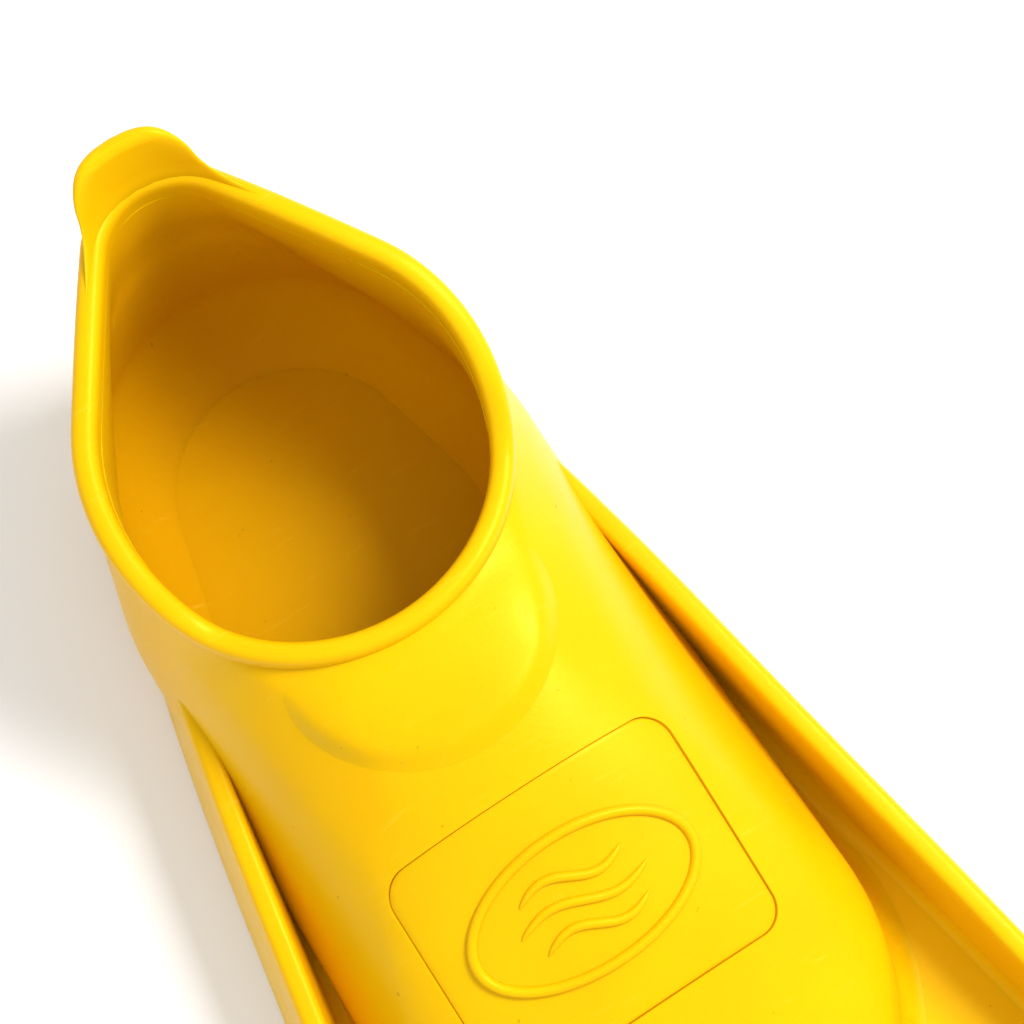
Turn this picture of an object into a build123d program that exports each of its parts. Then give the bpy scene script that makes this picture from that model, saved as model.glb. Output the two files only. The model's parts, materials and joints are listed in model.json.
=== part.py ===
from build123d import *
from math import asin, cos, pi, sin
import os

# Full-foot swim fin in moulded rubber, laid up from separate blanks.
# Frame: +X to the wearer's right, +Y from the blade's tip to the heel, +Z up. The origin is the
# bottom centre of the whole fin's box. All sizes are in millimetres.

# ---- driving dimensions --------------------------------------------------------------------
RIM_FRONT_Y = 146.0       # front of the foot opening
TIP_Y = -266.0            # end of the blade

WALL = 3.5                # pocket wall
GRIP = 1.5                # height of the grip ribs under the sole
FLOOR_Z = 5.0             # top of the sole plate, where the pocket walls start
INSOLE = 3.0

BEAD = 6.0                # thickness of the rolled rim in plan
BEAD_H = 7.0              # height of the rolled rim
RIM_FRONT_R = 43.2        # inner radius of the opening in front
RIM_FRONT_C = RIM_FRONT_Y + RIM_FRONT_R
RIM_REAR_R = 16.0         # inner radius of the opening at the heel
RIM_REAR_C = RIM_FRONT_Y + 92.0
RIM_HEEL_Z = 98.0         # rim height at the heel

SKIN = 1.2                # thickness of the swollen collar step
INLAY = 1.5               # depth of the panel's place in the instep
RECESS = 0.5              # how far the panel lies below the instep
RELIEF = 1.2              # height of the ring and the waves above the panel

WEB_Z = 2.5               # underside of the blade web
WEB = 4.0                 # blade web thickness
WEB_TOP = WEB_Z + WEB
BAND = 9.0                # length of the thick edge at the blade's end
BAND_LIP = 1.0            # how far that edge stands out above and below the web

RAIL_W = 11.5             # side rail thickness in plan
GAP = 0.3                 # clearance in the flex joints

TAB_W = 30.0
TAB_T = 5.0
TAB_H = 14.0              # heel tab above the rim
TAB_LEAN = 22.0           # degrees the tab leans back
TAB_STRAIGHT = 4.0        # straight part of the tab's sides

BIG = 700.0               # larger than the fin, for cutting boxes
TALL = 150.0              # higher than the fin

# Outline of the pocket's outside at each height: height, then the centre and radius in plan of
# the heel, ankle and toe circles. Centres are measured from the front of the opening.
POCKET = [
    (FLOOR_Z, (57.0, 50.5), (33.0, 56.0), (-105.0, 60.0)),
    (18.0, (57.5, 51.5), (33.0, 57.0), (-100.0, 60.0)),
    (30.0, (60.0, 49.5), (34.0, 56.0), (-84.0, 54.5)),
    (42.0, (64.0, 45.5), (36.0, 54.0), (-64.0, 47.0)),
    (54.0, (69.5, 40.0), (40.0, 51.0), (-38.0, 38.5)),
    (66.0, (77.0, 33.0), (42.6, 47.8), (-8.0, 27.0)),
    (75.5, (83.5, 27.5), (43.2, 46.6), (28.0, 32.3)),
    (104.0, (92.7, 18.8), (43.2, 46.7), (28.0, 32.3)),
]

# Inner edge of the side rails in plan: half-width against distance from the opening's front.
RAIL_EDGE = [(44.0, 36.0), (52.0, 0.0), (63.5, -64.0), (75.5, -130.0),
             (82.0, -168.0), (95.0, -268.0), (102.0, -350.0), (103.5, -404.0)]
# Top of the side rails in side view: distance from the opening's front, height.
RAIL_TOP = [(36.0, 38.0), (0.0, 39.5), (-70.0, 37.0), (-130.0, 33.5),
            (-210.0, 27.5), (-300.0, 20.5), (-380.0, 14.5), (-420.0, 12.0)]
# Rim of the opening in side view: distance from its front, height.
RIM_LINE = [(-30.0, 75.0), (0.0, 74.0), (16.0, 72.5), (36.0, 83.0), (56.0, 91.0), (78.0, 96.0),
            (98.0, RIM_HEEL_Z), (130.0, RIM_HEEL_Z)]

# Flex lines of the blade: place, height of the axis and radius of the round nose.
ROOT_FLEX = (RIM_FRONT_Y - 194.0, 14.5, 16.5)
TIP_FLEX = (RIM_FRONT_Y - 302.0, 10.5, 12.5)

os.makedirs("parts", exist_ok=True)


def save(piece, name):
    """Label a finished piece and write it."""
    piece.label = name
    export_step(piece, f"parts/{name}.step")


# ---- outlines ------------------------------------------------------------------------------
def hull_face(z, circles):
    """Face at height z round circles (centre y, radius) on the centre line, heel to toe."""
    bends = []
    for (rear_c, rear_r), (front_c, front_r) in zip(circles, circles[1:]):
        bends.append(asin((front_r - rear_r) / (rear_c - front_c)))
    starts = [pi / 2] + bends
    ends = bends + [-pi / 2]
    with BuildSketch(Plane.XY.offset(z)) as face:
        with BuildLine():
            for side in (1, -1):
                last = None
                for (centre, radius), start, end in zip(circles, starts, ends):
                    arc = [(side * radius * cos(turn), centre + radius * sin(turn))
                           for turn in (start, (start + end) / 2, end)]
                    if last is not None:
                        Line(last, arc[0])
                    ThreePointArc(*arc)
                    last = arc[2]
        make_face()
    return face.sketch


def pocket_section(row, grow):
    """Face of one row of POCKET, swollen by grow."""
    z, *circles = row
    height = z if z == FLOOR_Z else z + grow
    return hull_face(height, [(RIM_FRONT_Y + c, r + grow) for c, r in circles])


def pocket_body(grow):
    """The pocket's outside as one solid, swollen by grow (negative for the inside)."""
    with BuildPart() as body:
        for row in POCKET[:-1]:
            add(pocket_section(row, grow))
        loft()
        for row in POCKET[-2:]:
            add(pocket_section(row, grow))
        loft()
    return body.part


def sole_outline(z, grow):
    """Outline of the sole at height z, grown by grow."""
    return hull_face(z, [(RIM_FRONT_Y + c, r + grow) for c, r in POCKET[0][1:]])


def side_slab(points, low):
    """Prism across the fin between height low and the curve through points (y, z)."""
    with BuildPart() as slab:
        with BuildSketch(Plane.YZ):
            with BuildLine():
                top = Spline(*[(y, z) for y, z in points])
                first = (points[0][0], low)
                last = (points[-1][0], low)
                Line(top @ 0, first)
                Line(first, last)
                Line(last, top @ 1)
            make_face()
        extrude(amount=BIG / 2, both=True)
    return slab.part


def rim_prism(grow, low, high):
    """Prism of the opening's outline, grown by grow in plan."""
    with BuildPart() as prism:
        add(hull_face(low, [(RIM_REAR_C, RIM_REAR_R + grow), (RIM_FRONT_C, RIM_FRONT_R + grow)]))
        extrude(amount=high - low)
    return prism.part


# ---- flex joints ---------------------------------------------------------------------------
def flex_side(line, extra):
    """Everything on the blade side of a flex line: a half space with a round nose."""
    flex_y, axis_z, radius = line
    with BuildPart() as side:
        with BuildSketch(Plane.YZ):
            with Locations((flex_y - BIG / 2, 0)):
                Rectangle(BIG, BIG)
            with Locations((flex_y, axis_z)):
                Circle(radius + extra)
        extrude(amount=BIG / 2, both=True)
    return side.part


root_nose = flex_side(ROOT_FLEX, 0)
root_clear = flex_side(ROOT_FLEX, GAP)
tip_nose = flex_side(TIP_FLEX, 0)
tip_clear = flex_side(TIP_FLEX, GAP)


def save_segments(solid, name):
    """Cut a long blade member at the two flex lines and write its three segments."""
    with BuildPart() as root_piece:
        add(solid)
        add(root_clear, mode=Mode.SUBTRACT)
    save(root_piece.part, f"{name}_root")
    with BuildPart() as mid_piece:
        add(solid)
        add(root_nose, mode=Mode.INTERSECT)
        add(tip_clear, mode=Mode.SUBTRACT)
    save(mid_piece.part, f"{name}_mid")
    with BuildPart() as tip_piece:
        add(solid)
        add(tip_nose, mode=Mode.INTERSECT)
    save(tip_piece.part, f"{name}_tip")


def keep_between(solid, name, low_y, high_y, side=0):
    """Write the part of a solid between two cross planes; side picks left (-1) or right (1)."""
    with BuildPart() as piece:
        add(solid)
        with Locations((side * BIG / 2, (low_y + high_y) / 2, 0)):
            Box(BIG, high_y - low_y, BIG, mode=Mode.INTERSECT)
    save(piece.part, name)


# ---- instep panel --------------------------------------------------------------------------
outside = pocket_body(0)
inside = pocket_body(-WALL)
inlay_floor = outside.moved(Location((0, 0, -INLAY)))
panel_face = outside.moved(Location((0, 0, -RECESS)))
relief_top = outside.moved(Location((0, 0, RELIEF - RECESS)))
swell_top = outside.moved(Location((0, 0, SKIN)))

INSTEP_LOW_Z = 28.0       # below the panel's lowest corner
PANEL_W = 76.0
PANEL_BACK_Y = RIM_FRONT_Y - 47
PANEL_FRONT_Y = RIM_FRONT_Y - 103
PANEL_Y = (PANEL_BACK_Y + PANEL_FRONT_Y) / 2
PANEL_CORNER = 7.0
with BuildPart() as panel_prism:
    with BuildSketch(Plane.XY.offset(INSTEP_LOW_Z)):
        with Locations((0, PANEL_Y)):
            RectangleRounded(PANEL_W, PANEL_BACK_Y - PANEL_FRONT_Y, PANEL_CORNER)
    extrude(amount=TALL)

with BuildPart() as panel_hole:
    add(panel_prism.part)
    add(inlay_floor, mode=Mode.SUBTRACT)

with BuildPart() as instep_panel:
    add(panel_hole.part)
    add(panel_face, mode=Mode.INTERSECT)
save(instep_panel.part, "instep_panel")

RING_RX = 30.0
RING_RY = 16.5
RING_BAND = 2.6
with BuildPart() as emblem_ring:
    with BuildSketch(Plane.XY.offset(INSTEP_LOW_Z)):
        with Locations((0, PANEL_Y)):
            Ellipse(RING_RX, RING_RY)
            Ellipse(RING_RX - RING_BAND, RING_RY - RING_BAND, mode=Mode.SUBTRACT)
    extrude(amount=TALL)
    add(relief_top, mode=Mode.INTERSECT)
    add(panel_face, mode=Mode.SUBTRACT)
save(emblem_ring.part, "emblem_ring")

WAVE_X = 17.0
WAVE_RISE = 2.2
WAVE_BAND = 1.8
WAVES = ((-6.0, 0.8), (0.0, 1.0), (6.0, 0.8))     # place across the panel, share of the length
with BuildPart() as emblem_waves:
    with BuildSketch(Plane.XY.offset(INSTEP_LOW_Z)):
        for step, share in WAVES:
            reach = WAVE_X * share
            low = PANEL_Y + step
            high = low + WAVE_BAND
            with BuildLine():
                under = Spline((-reach, low), (-reach / 2, low + WAVE_RISE), (0, low),
                               (reach / 2, low - WAVE_RISE), (reach, low))
                over = Spline((-reach, high), (-reach / 2, high + WAVE_RISE), (0, high),
                              (reach / 2, high - WAVE_RISE), (reach, high))
                Line(under @ 0, over @ 0)
                Line(under @ 1, over @ 1)
            make_face()
    extrude(amount=TALL)
    add(relief_top, mode=Mode.INTERSECT)
    add(panel_face, mode=Mode.SUBTRACT)
save(emblem_waves.part, "emblem_waves")


# ---- foot pocket ---------------------------------------------------------------------------
rim_top = [(RIM_FRONT_Y + y, z) for y, z in RIM_LINE]
rim_high = side_slab(rim_top, 0)
rim_low = side_slab([(y, z - BEAD_H) for y, z in rim_top], 0)

BELOW_RIM_Z = 40.0        # below the lowest point of the rim
CHIMNEY_Y = RIM_FRONT_Y + 24
with BuildPart() as above_rim:
    add(rim_prism(BEAD, BELOW_RIM_Z, TALL))
    with Locations((0, CHIMNEY_Y + BIG / 2, BELOW_RIM_Z + TALL / 2)):
        Box(BIG, BIG, TALL)
    add(rim_low, mode=Mode.SUBTRACT)

with BuildPart() as pocket_wall:
    add(outside)
    add(inside, mode=Mode.SUBTRACT)
    add(above_rim.part, mode=Mode.SUBTRACT)
    add(panel_hole.part, mode=Mode.SUBTRACT)

TOE_Y = RIM_FRONT_Y - 105
QUARTER_Y = RIM_FRONT_Y - 1
HEEL_Y = RIM_FRONT_Y + 72
keep_between(pocket_wall.part, "toe_cap", -BIG / 2, TOE_Y)
keep_between(pocket_wall.part, "vamp", TOE_Y, QUARTER_Y)
keep_between(pocket_wall.part, "left_quarter", QUARTER_Y, HEEL_Y, -1)
keep_between(pocket_wall.part, "right_quarter", QUARTER_Y, HEEL_Y, 1)
keep_between(pocket_wall.part, "heel_cup", HEEL_Y, BIG / 2)

with BuildPart() as collar_bead:
    add(rim_prism(BEAD, BELOW_RIM_Z, RIM_HEEL_Z))
    add(rim_prism(0, 0, TALL), mode=Mode.SUBTRACT)
    add(rim_high, mode=Mode.INTERSECT)
    add(rim_low, mode=Mode.SUBTRACT)
save(collar_bead.part, "collar_bead")

with BuildPart() as sole_plate:
    add(sole_outline(GRIP, 0))
    extrude(amount=FLOOR_Z - GRIP)
save(sole_plate.part, "sole_plate")

with BuildPart() as insole:
    add(inside)
    with Locations((0, 0, FLOOR_Z + INSOLE / 2)):
        Box(BIG, BIG, INSOLE, mode=Mode.INTERSECT)
save(insole.part, "insole")

GRIP_RIBS = 15
GRIP_PITCH = 12.0
GRIP_LENGTH = 60.0
GRIP_WIDTH = 5.0
with BuildPart() as sole_grip_ribs:
    with Locations((0, RIM_FRONT_Y - 30, GRIP / 2)):
        with GridLocations(0, GRIP_PITCH, 1, GRIP_RIBS):
            Box(GRIP_LENGTH, GRIP_WIDTH, GRIP)
save(sole_grip_ribs.part, "sole_grip_ribs")

STEP_X = 37.0
STEP_BACK_Y = RIM_FRONT_Y + 2
STEP_FRONT_Y = RIM_FRONT_Y - 38
STEP_LOW_Z = 50.0         # below the lowest point of the step
STEP_SPAN = 40.0
with BuildPart() as collar_step:
    with BuildSketch(Plane.XY.offset(STEP_LOW_Z)):
        with BuildLine():
            ThreePointArc((-STEP_X, STEP_BACK_Y), (0, STEP_FRONT_Y), (STEP_X, STEP_BACK_Y))
            Line((STEP_X, STEP_BACK_Y), (-STEP_X, STEP_BACK_Y))
        make_face()
    extrude(amount=STEP_SPAN)
    add(swell_top, mode=Mode.INTERSECT)
    add(outside, mode=Mode.SUBTRACT)
    add(above_rim.part, mode=Mode.SUBTRACT)
save(collar_step.part, "collar_step")


# ---- side rails ------------------------------------------------------------------------------
def rail_outline(side, shift):
    """Points of a rail edge, shift millimetres outside the inner edge."""
    return [(side * (x + shift), RIM_FRONT_Y + y) for x, y in RAIL_EDGE]


EDGE_END_X, EDGE_END_Y = rail_outline(1, 0)[-1]
rail_height = side_slab([(RIM_FRONT_Y + y, z) for y, z in RAIL_TOP], 0)


def rail(side):
    """One side rail: its plan prism under its side profile, clear of the pocket."""
    with BuildPart() as bar:
        with BuildSketch():
            with BuildLine():
                near = Spline(*rail_outline(side, 0))
                far = Spline(*rail_outline(side, RAIL_W))
                Line(near @ 0, far @ 0)
                nose = (side * (EDGE_END_X + RAIL_W / 2), EDGE_END_Y - RAIL_W / 2)
                ThreePointArc(near @ 1, nose, far @ 1)
            make_face()
        extrude(amount=TALL)
        add(rail_height, mode=Mode.INTERSECT)
        add(outside, mode=Mode.SUBTRACT)
        add(sole_plate.part, mode=Mode.SUBTRACT)
    return bar.part


left_rail = rail(-1)
right_rail = rail(1)
save_segments(left_rail, "left_rail")
save_segments(right_rail, "right_rail")


# ---- blade web and tip band ------------------------------------------------------------------
def blade_sheet(low, thickness):
    """Sheet between the rails, as long as the blade."""
    with BuildPart() as sheet:
        with BuildSketch(Plane.XY.offset(low)):
            with BuildLine():
                right_edge = Spline(*rail_outline(1, 0))
                left_edge = Spline(*rail_outline(-1, 0))
                ThreePointArc(left_edge @ 1, (0, TIP_Y), right_edge @ 1)
                Line(left_edge @ 0, right_edge @ 0)
            make_face()
        extrude(amount=thickness)
        add(left_rail, mode=Mode.SUBTRACT)
        add(right_rail, mode=Mode.SUBTRACT)
    return sheet.part


band_x = EDGE_END_X + 20
band_y = EDGE_END_Y + BAND + 4
with BuildPart() as tip_region:
    with BuildSketch():
        with BuildLine():
            ThreePointArc((-band_x, band_y), (0, TIP_Y + BAND), (band_x, band_y))
            Polyline((band_x, band_y), (band_x, TIP_Y - BAND), (-band_x, TIP_Y - BAND),
                     (-band_x, band_y))
        make_face()
    extrude(amount=TALL)

WEB_REAR_Y = RIM_FRONT_Y - 20
with BuildPart() as blade_web:
    add(blade_sheet(WEB_Z, WEB))
    add(outside, mode=Mode.SUBTRACT)
    add(sole_plate.part, mode=Mode.SUBTRACT)
    add(tip_region.part, mode=Mode.SUBTRACT)
    with Locations((0, WEB_REAR_Y + BIG / 2, 0)):
        Box(BIG, BIG, BIG, mode=Mode.SUBTRACT)
save_segments(blade_web.part, "blade_web")

with BuildPart() as tip_band:
    add(blade_sheet(WEB_Z - BAND_LIP, WEB + 2 * BAND_LIP))
    add(tip_region.part, mode=Mode.INTERSECT)
save(tip_band.part, "tip_band")


# ---- blade ribs ------------------------------------------------------------------------------
RIB_START_Y = RIM_FRONT_Y - 128.0
RIB_END_Y = TIP_Y + 26.0
RIB_X = (46.0, 58.0)      # half-distance between the blade ribs, at their start and end
RIB_W = (11.0, 7.0)
# Top of the ribs in side view: distance from the opening's front, height.
RIB_TOP = [(-110.0, 30.0), (-128.0, 25.0), (-150.0, 17.5), (-180.0, 13.5), (-260.0, 11.5),
           (-420.0, 9.0)]
rib_height = side_slab([(RIM_FRONT_Y + y, z) for y, z in RIB_TOP], WEB_TOP)


def blade_rib(side):
    """One raised rib from the toe along the blade, round at both ends."""
    start_x = side * RIB_X[0]
    end_x = side * RIB_X[1]
    half_a = RIB_W[0] / 2
    half_b = RIB_W[1] / 2
    with BuildPart() as ridge:
        with BuildSketch(Plane.XY.offset(WEB_TOP)):
            with BuildLine():
                ThreePointArc((start_x - half_a, RIB_START_Y), (start_x, RIB_START_Y + half_a),
                              (start_x + half_a, RIB_START_Y))
                Line((start_x + half_a, RIB_START_Y), (end_x + half_b, RIB_END_Y))
                ThreePointArc((end_x + half_b, RIB_END_Y), (end_x, RIB_END_Y - half_b),
                              (end_x - half_b, RIB_END_Y))
                Line((end_x - half_b, RIB_END_Y), (start_x - half_a, RIB_START_Y))
            make_face()
        extrude(amount=TALL)
        add(rib_height, mode=Mode.INTERSECT)
        add(outside, mode=Mode.SUBTRACT)
    return ridge.part


left_rib = blade_rib(-1)
right_rib = blade_rib(1)
save_segments(left_rib, "left_rib")
save_segments(right_rib, "right_rib")

# Fillet strips in the corners between the pocket's toe and the blade web.
GUSSET = 5.0
with BuildPart() as gusset_ring:
    add(sole_outline(WEB_TOP, GUSSET + 2))
    add(sole_outline(WEB_TOP + GUSSET, GUSSET - 2))
    loft()
    add(outside, mode=Mode.SUBTRACT)
    for bar in (left_rail, right_rail, left_rib, right_rib):
        add(bar, mode=Mode.SUBTRACT)
GUSSET_FRONT_Y = RIM_FRONT_Y - 177
GUSSET_BACK_Y = RIM_FRONT_Y - 72
keep_between(gusset_ring.part, "left_gusset", GUSSET_FRONT_Y, GUSSET_BACK_Y, -1)
keep_between(gusset_ring.part, "right_gusset", GUSSET_FRONT_Y, GUSSET_BACK_Y, 1)


# ---- heel tab --------------------------------------------------------------------------------
TAB_Y = RIM_FRONT_Y + 110.5
TAB_AXIS_Z = RIM_HEEL_Z + GAP + TAB_T / 2
TAB_REACH = TAB_H - TAB_T / 2
tab_plane = Plane(origin=(0, TAB_Y, TAB_AXIS_Z), x_dir=(1, 0, 0),
                  z_dir=Vector(0, -1, 0).rotate(Axis.X, -TAB_LEAN))
with BuildPart() as heel_tab:
    with BuildSketch(tab_plane):
        with BuildLine():
            Polyline((-TAB_W / 2, TAB_STRAIGHT), (-TAB_W / 2, 0), (TAB_W / 2, 0),
                     (TAB_W / 2, TAB_STRAIGHT))
            ThreePointArc((TAB_W / 2, TAB_STRAIGHT), (0, TAB_REACH), (-TAB_W / 2, TAB_STRAIGHT))
        make_face()
    extrude(amount=TAB_T / 2, both=True)
    with BuildSketch(Plane.YZ.offset(-TAB_W / 2)):
        with Locations((TAB_Y, TAB_AXIS_Z)):
            Circle(TAB_T / 2)
    extrude(amount=TAB_W)
save(heel_tab.part, "heel_tab")
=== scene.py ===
import json
import math

import bmesh
import bpy
import numpy as np
from mathutils import Matrix, Vector


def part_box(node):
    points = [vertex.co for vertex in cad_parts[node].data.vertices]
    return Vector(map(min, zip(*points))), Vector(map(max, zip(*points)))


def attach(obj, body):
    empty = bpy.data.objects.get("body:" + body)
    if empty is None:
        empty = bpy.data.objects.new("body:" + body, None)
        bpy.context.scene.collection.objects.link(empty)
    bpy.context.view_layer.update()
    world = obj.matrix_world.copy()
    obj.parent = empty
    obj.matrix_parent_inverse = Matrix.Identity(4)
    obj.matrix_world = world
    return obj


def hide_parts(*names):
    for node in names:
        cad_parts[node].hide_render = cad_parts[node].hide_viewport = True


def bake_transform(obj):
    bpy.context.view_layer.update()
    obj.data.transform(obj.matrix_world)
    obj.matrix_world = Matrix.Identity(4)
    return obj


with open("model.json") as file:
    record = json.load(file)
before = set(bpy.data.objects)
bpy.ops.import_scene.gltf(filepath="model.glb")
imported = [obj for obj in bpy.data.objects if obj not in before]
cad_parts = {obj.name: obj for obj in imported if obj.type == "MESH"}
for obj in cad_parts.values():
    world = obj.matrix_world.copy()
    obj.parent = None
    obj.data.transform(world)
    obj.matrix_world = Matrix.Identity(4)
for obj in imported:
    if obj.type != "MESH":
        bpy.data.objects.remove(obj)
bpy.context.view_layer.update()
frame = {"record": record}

# Lengths below are in millimetres and are turned into metres when a mesh is made.
MM = 0.001


def box_mm(node):
    """Lowest and highest corners of a CAD node in millimetres."""
    low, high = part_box(node)
    return np.array(low) / MM, np.array(high) / MM


# ---- driving sizes, placed from the frame ----------------------------------------------------
BEAD = 6.0                # thickness of the rolled rim in plan
BEAD_H = 7.0              # height of the rolled rim
WALL = 3.5                # thickness of the pocket's walls
RIM_Y = box_mm("collar_bead")[0][1] + BEAD      # front of the foot opening
FLOOR = box_mm("sole_plate")[1][2]              # top of the sole plate
SOLE_Z = box_mm("sole_plate")[0][2]             # underside of the sole plate
INSOLE_TOP = box_mm("insole")[1][2]
WEB_Z, WEB_TOP = box_mm("blade_web_mid")[0][2], box_mm("blade_web_mid")[1][2]
TIP_Y = box_mm("tip_band")[0][1]                # the blade's furthest end
TAB_LOW, TAB_HIGH = box_mm("heel_tab")
JOINTS = {joint["name"]: joint for joint in frame["record"]["behaviour"]["joints"]}

# Circles of the opening's inner outline: centre behind its front, and radius.
RIM_FRONT = (43.2, 43.2)
RIM_REAR = (92.0, 16.0)

# Outline of the pocket at each height: height, then centre and radius in plan of the heel,
# ankle and toe circles, measured from the front of the opening.
POCKET = np.array([
    (FLOOR, 57.0, 50.5, 33.0, 56.0, -105.0, 60.0),
    (18.0, 57.5, 51.5, 33.0, 57.0, -100.0, 60.0),
    (30.0, 60.0, 49.5, 34.0, 56.0, -84.0, 54.5),
    (42.0, 64.0, 45.5, 36.0, 54.0, -64.0, 47.0),
    (54.0, 69.5, 40.0, 40.0, 51.0, -38.0, 38.5),
    (66.0, 77.0, 33.0, 42.6, 47.8, -8.0, 27.0),
    (70.5, 80.5, 30.2, 43.0, 47.0, 22.0, 29.5),
    (75.5, 83.5, 27.5, 43.2, 46.6, 28.0, 32.3),
    (84.0, 88.0, 23.2, 43.2, 46.6, 28.0, 32.2),
    (104.0, 92.7, 18.8, 43.2, 46.7, 28.0, 32.2),
])
# Rim of the opening in side view: distance behind its front, and height of its top.
RIM_LINE = [(-30.0, 75.0), (0.0, 74.0), (16.0, 72.5), (36.0, 83.0), (56.0, 91.0), (78.0, 96.0),
            (98.0, 98.0), (130.0, 98.0)]
# Side rails, by distance behind the opening's front: half-width to their inner edge, height of
# their top, and thickness of their foot.
RAIL_EDGE = [(-404.0, 103.5), (-350.0, 102.0), (-268.0, 95.0), (-168.0, 82.0), (-130.0, 75.5),
             (-64.0, 63.5), (0.0, 52.0), (36.0, 44.0), (62.0, 36.5)]
RAIL_TOP = [(-420.0, 12.0), (-380.0, 14.5), (-300.0, 20.5), (-210.0, 27.5), (-130.0, 33.5),
            (-70.0, 37.0), (0.0, 39.5), (30.0, 38.0), (46.0, 30.0), (62.0, 14.0)]
RAIL_FOOT = [(-404.0, 10.0), (-250.0, 11.0), (-60.0, 12.6), (40.0, 12.8), (62.0, 9.0)]
# Height of the bottom of the channel between a rail and the pocket's flank.
VALLEY = [(-100.0, WEB_TOP - 0.08), (-78.0, WEB_TOP), (-55.0, WEB_TOP + 3.0), (-25.0, 18.0),
          (0.0, 31.0), (20.0, 36.0), (62.0, 36.0)]
RAIL_CROWN = 6.2          # width of the rail's top


def smooth_curve(knots):
    """Cubic curve through (position, value) knots, held level beyond its ends."""
    xs = np.array([k[0] for k in knots], float)
    ys = np.array([k[1] for k in knots], float)
    steps = np.diff(ys) / np.diff(xs)
    slopes = np.concatenate([steps[:1], (steps[1:] + steps[:-1]) / 2, steps[-1:]])
    turning = np.concatenate([[False], steps[1:] * steps[:-1] <= 0, [False]])
    slopes[turning] = 0.0

    def value(x):
        x = np.clip(np.asarray(x, float), xs[0], xs[-1])
        i = np.clip(np.searchsorted(xs, x) - 1, 0, len(xs) - 2)
        h = xs[i + 1] - xs[i]
        t = (x - xs[i]) / h
        return (ys[i] * (1 + 2 * t) * (1 - t) ** 2 + ys[i + 1] * t * t * (3 - 2 * t)
                + h * slopes[i] * t * (1 - t) ** 2 - h * slopes[i + 1] * t * t * (1 - t))
    return value


pocket_values = [smooth_curve(list(zip(POCKET[:, 0], POCKET[:, k]))) for k in range(1, 7)]
rim_height = smooth_curve(RIM_LINE)
rail_edge = smooth_curve(RAIL_EDGE)
rail_top = smooth_curve(RAIL_TOP)
rail_foot = smooth_curve(RAIL_FOOT)
valley = smooth_curve(VALLEY)


# ---- outlines: hulls of circles on the centre line -------------------------------------------
ARC_STEPS = (20, 16, 44)
LINE_STEPS = (10, 26)


def outline_stations(arcs, lines):
    """Half an outline, heel to toe, as (circle index, fraction on its arc or None, line fraction)."""
    found = []
    for k, steps in enumerate(arcs):
        for s in range(steps + (k == len(arcs) - 1)):
            found.append((k, s / steps, 0.0))
        if k < len(lines):
            found += [(k, 1.0, s / lines[k]) for s in range(lines[k])]
    return found


def hull_points(circles, stations):
    """Half outlines of hulls. circles is a list of (centre, radius) arrays, shaped (rows, 1) or
    (rows, stations). Returns x and y arrays of shape (rows, stations)."""
    bends = [np.arcsin(np.clip((b[1] - a[1]) / (a[0] - b[0]), -0.999, 0.999))
             for a, b in zip(circles, circles[1:])]
    quarter = np.full_like(circles[0][0], math.pi / 2)
    starts, ends = [quarter] + bends, bends + [-quarter]
    rows = circles[0][0].shape[0]
    x, y = np.zeros((rows, len(stations))), np.zeros((rows, len(stations)))

    def column(values, i):
        return values[:, i] if values.shape[1] > 1 else values[:, 0]

    for i, (k, turn, along) in enumerate(stations):
        centre, radius = column(circles[k][0], i), column(circles[k][1], i)
        angle = column(starts[k], i) * (1 - turn) + column(ends[k], i) * turn
        x[:, i], y[:, i] = radius * np.cos(angle), centre + radius * np.sin(angle)
        if along:
            c2, r2 = column(circles[k + 1][0], i), column(circles[k + 1][1], i)
            x[:, i] += along * (r2 * np.cos(angle) - x[:, i])
            y[:, i] += along * (c2 + r2 * np.sin(angle) - y[:, i])
    return x, y


def whole(half):
    """Mirrors half outlines into closed loops: right side heel to toe, then the left side back."""
    mirrored = half[:, -2:0:-1].copy()
    mirrored[..., 0] *= -1
    return np.concatenate([half, mirrored], axis=1)


POCKET_STATIONS = outline_stations(ARC_STEPS, LINE_STEPS)
RIM_STATIONS = outline_stations((36, 60), (16,))


def pocket_outline(z, grow):
    """Half outlines of the pocket at heights z (rows or rows x stations), grown by grow."""
    v = [f(z) for f in pocket_values]
    circles = [(v[0], v[1] + grow), (v[2], v[3] + grow), (v[4], v[5] + grow)]
    return hull_points(circles, POCKET_STATIONS)


def inner_section_height(z):
    """Height of the outer section that the inside follows at height z."""
    return z + WALL * np.clip((z - FLOOR) / 11.0, 0, 1)


BOWL = 16.0               # how far the inner wall leans in at its foot
BOWL_H = 26.0             # height of the leaning part


def bowl_inset(z):
    """How far the inside is drawn in by the leaning foot of the wall at height z."""
    rise = np.clip((z - INSOLE_TOP + 0.8) / BOWL_H, 0, 1)
    return BOWL * (1 - rise) ** 1.8


def inner_outline(z):
    return pocket_outline(inner_section_height(z), -WALL - bowl_inset(z))


def capsule_distance(x, y, rear, front):
    """Signed distance to the hull of two circles (centre, radius) on the centre line."""
    span = rear[0] - front[0]
    px, py = np.abs(x), y - front[0]
    b = (front[1] - rear[1]) / span
    a = np.sqrt(1 - b * b)
    k = -b * px + a * py
    flank = a * px + b * py - front[1]
    below = np.hypot(px, py) - front[1]
    above = np.hypot(px, py - span) - rear[1]
    return np.where(k < 0, below, np.where(k > a * span, above, flank))


def pocket_distance(x, y, z):
    v = [f(z) for f in pocket_values]
    heel, ankle, toe = (v[0], v[1]), (v[2], v[3]), (v[4], v[5])
    return np.minimum(capsule_distance(x, y, heel, ankle), capsule_distance(x, y, ankle, toe))


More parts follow.
